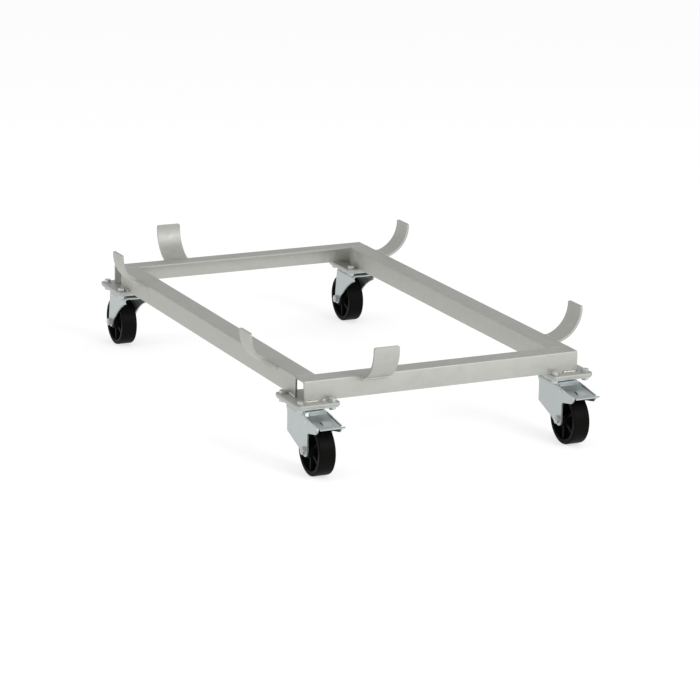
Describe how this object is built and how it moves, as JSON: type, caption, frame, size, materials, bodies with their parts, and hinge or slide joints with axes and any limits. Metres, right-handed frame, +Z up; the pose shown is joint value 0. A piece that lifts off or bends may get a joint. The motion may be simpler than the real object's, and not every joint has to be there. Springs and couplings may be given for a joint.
{
  "type": "rolling drum dolly",
  "caption": "Low rectangular rolling frame of galvanised steel angle with curved guide tabs and swivel casters, for moving a drum tray.",
  "frame": {"origin": "on the floor under the middle of the frame", "axes": "+Z up, +Y along the length towards the plain casters, +X to the right seen from the braked end"},
  "size_m": [0.854, 1.4268, 0.304],
  "materials": {
    "galvanised_steel": "hot-dip galvanised, dull spangle",
    "zinc_plate": "electro zinc plated, bluish satin",
    "bolt_zinc": "zinc plated fasteners",
    "brake_steel": "bare steel brake shoe",
    "wheel_plastic": "black moulded plastic"
  },
  "bodies": {
    "frame": {"front_rail": "galvanised_steel", "back_rail": "galvanised_steel", "left_rail": "galvanised_steel", "right_rail": "galvanised_steel", "front_tab": "galvanised_steel", "back_tab": "galvanised_steel", "left_front_tab": "galvanised_steel", "left_back_tab": "galvanised_steel", "right_front_tab": "galvanised_steel", "right_back_tab": "galvanised_steel", "plate_bolts": "bolt_zinc", "plate_washers": "bolt_zinc", "plate_nuts": "bolt_zinc", "front_left_corner_plate": "galvanised_steel", "front_left_caster_plate": "zinc_plate", "front_left_ball_race": "zinc_plate", "front_left_kingpin": "bolt_zinc", "front_right_corner_plate": "galvanised_steel", "front_right_caster_plate": "zinc_plate", "front_right_ball_race": "zinc_plate", "front_right_kingpin": "bolt_zinc", "back_left_corner_plate": "galvanised_steel", "back_left_caster_plate": "zinc_plate", "back_left_ball_race": "zinc_plate", "back_left_kingpin": "bolt_zinc", "back_right_corner_plate": "galvanised_steel", "back_right_caster_plate": "zinc_plate", "back_right_ball_race": "zinc_plate", "back_right_kingpin": "bolt_zinc"},
    "front_left_swivel": {"front_left_fork": "zinc_plate", "front_left_axle_bush": "bolt_zinc", "front_left_axle_bolt": "bolt_zinc", "front_left_axle_nut": "bolt_zinc", "front_left_pedal_pin": "bolt_zinc"},
    "front_left_wheel_body": {"front_left_wheel": "wheel_plastic"},
    "front_left_pedal": {"front_left_brake_pedal": "zinc_plate", "front_left_brake_shoe": "brake_steel"},
    "front_right_swivel": {"front_right_fork": "zinc_plate", "front_right_axle_bush": "bolt_zinc", "front_right_axle_bolt": "bolt_zinc", "front_right_axle_nut": "bolt_zinc", "front_right_pedal_pin": "bolt_zinc"},
    "front_right_wheel_body": {"front_right_wheel": "wheel_plastic"},
    "front_right_pedal": {"front_right_brake_pedal": "zinc_plate", "front_right_brake_shoe": "brake_steel"},
    "back_left_swivel": {"back_left_fork": "zinc_plate", "back_left_axle_bush": "bolt_zinc", "back_left_axle_bolt": "bolt_zinc", "back_left_axle_nut": "bolt_zinc"},
    "back_left_wheel_body": {"back_left_wheel": "wheel_plastic"},
    "back_right_swivel": {"back_right_fork": "zinc_plate", "back_right_axle_bush": "bolt_zinc", "back_right_axle_bolt": "bolt_zinc", "back_right_axle_nut": "bolt_zinc"},
    "back_right_wheel_body": {"back_right_wheel": "wheel_plastic"}
  },
  "joints": [
    {"name": "front_left_swivel_joint", "type": "hinge", "parent": "frame", "child": "front_left_swivel", "pos_m": [-0.334, -0.587, 0.15], "axis": [0, 0, 1], "continuous": true},
    {"name": "front_left_wheel_spin", "type": "hinge", "parent": "front_left_swivel", "child": "front_left_wheel_body", "pos_m": [-0.334, -0.643, 0.0625], "axis": [1, 0, 0], "continuous": true},
    {"name": "front_left_brake", "type": "hinge", "parent": "front_left_swivel", "child": "front_left_pedal", "pos_m": [-0.334, -0.651, 0.134], "axis": [1, 0, 0], "range_deg": [0, 10]},
    {"name": "front_right_swivel_joint", "type": "hinge", "parent": "frame", "child": "front_right_swivel", "pos_m": [0.334, -0.587, 0.15], "axis": [0, 0, 1], "continuous": true},
    {"name": "front_right_wheel_spin", "type": "hinge", "parent": "front_right_swivel", "child": "front_right_wheel_body", "pos_m": [0.334, -0.643, 0.0625], "axis": [1, 0, 0], "continuous": true},
    {"name": "front_right_brake", "type": "hinge", "parent": "front_right_swivel", "child": "front_right_pedal", "pos_m": [0.334, -0.651, 0.134], "axis": [1, 0, 0], "range_deg": [0, 10]},
    {"name": "back_left_swivel_joint", "type": "hinge", "parent": "frame", "child": "back_left_swivel", "pos_m": [-0.334, 0.587, 0.15], "axis": [0, 0, 1], "continuous": true},
    {"name": "back_left_wheel_spin", "type": "hinge", "parent": "back_left_swivel", "child": "back_left_wheel_body", "pos_m": [-0.334, 0.643, 0.0625], "axis": [1, 0, 0], "continuous": true},
    {"name": "back_right_swivel_joint", "type": "hinge", "parent": "frame", "child": "back_right_swivel", "pos_m": [0.334, 0.587, 0.15], "axis": [0, 0, 1], "continuous": true},
    {"name": "back_right_wheel_spin", "type": "hinge", "parent": "back_right_swivel", "child": "back_right_wheel_body", "pos_m": [0.334, 0.643, 0.0625], "axis": [1, 0, 0], "continuous": true}
  ]
}
